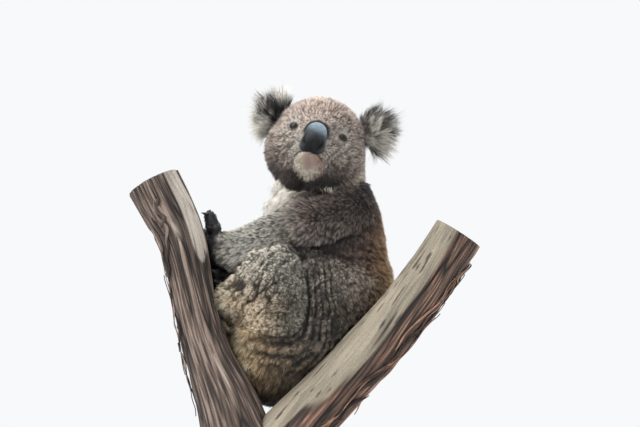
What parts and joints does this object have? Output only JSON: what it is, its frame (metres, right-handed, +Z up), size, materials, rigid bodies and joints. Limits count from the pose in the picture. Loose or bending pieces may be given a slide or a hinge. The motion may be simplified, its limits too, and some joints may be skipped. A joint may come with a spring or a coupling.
{
  "type": "koala display model",
  "caption": "Life-size koala sitting in the fork of a cut tree limb, paws round the upright stem and face turned to the viewer, on a flat base with short rods.",
  "frame": {"origin": "centre of the underside of the flat display base, where it rests on the floor", "axes": "+Z up; +Y away from the viewer, so the face looks along -Y; the animal grips the stem on its -X side and its back is towards +X"},
  "size_m": [0.55, 0.3179, 0.7276],
  "materials": {
    "coat_head": "short dense grey-brown fur",
    "coat_back": "dense dark grey-brown fur",
    "coat_limbs": "short woolly light grey fur",
    "coat_rump": "cream mottled fur",
    "coat_ears": "charcoal fur with long pale fringes",
    "nose_skin": "smooth blue-grey to black skin",
    "eye": "glossy dark brown",
    "claws": "smooth black horn",
    "bare_paws": "rough black skin",
    "bark": "fibrous peeling bark over smooth wood",
    "stand_wood": "dark satin",
    "stand_steel": "brushed"
  },
  "bodies": {
    "root": {"head": "coat_head", "ear_left": "coat_ears", "ear_right": "coat_ears", "eye_left": "eye", "eye_right": "eye", "nose": "nose_skin", "neck": "coat_back", "chest": "coat_back", "abdomen": "coat_back", "rump": "coat_rump", "upper_arm_left": "coat_back", "forearm_left": "coat_limbs", "hand_left": "bare_paws", "thigh_left": "coat_limbs", "shin_left": "coat_limbs", "foot_left": "bare_paws", "upper_arm_right": "coat_back", "forearm_right": "coat_limbs", "hand_right": "bare_paws", "thigh_right": "coat_limbs", "shin_right": "coat_limbs", "foot_right": "bare_paws", "claw_hand_left_1": "claws", "claw_hand_left_2": "claws", "claw_hand_left_3": "claws", "claw_hand_left_4": "claws", "claw_hand_left_5": "claws", "claw_hand_right_1": "claws", "claw_hand_right_2": "claws", "claw_hand_right_3": "claws", "claw_hand_right_4": "claws", "claw_hand_right_5": "claws", "claw_foot_left_2": "claws", "claw_foot_left_3": "claws", "claw_foot_left_4": "claws", "claw_foot_left_5": "claws", "claw_foot_right_2": "claws", "claw_foot_right_3": "claws", "claw_foot_right_4": "claws", "claw_foot_right_5": "claws", "perch_stem": "bark", "perch_branch": "bark", "stand_base": "stand_wood", "stand_rod_1": "stand_steel", "stand_rod_2": "stand_steel"}
  },
  "joints": []
}
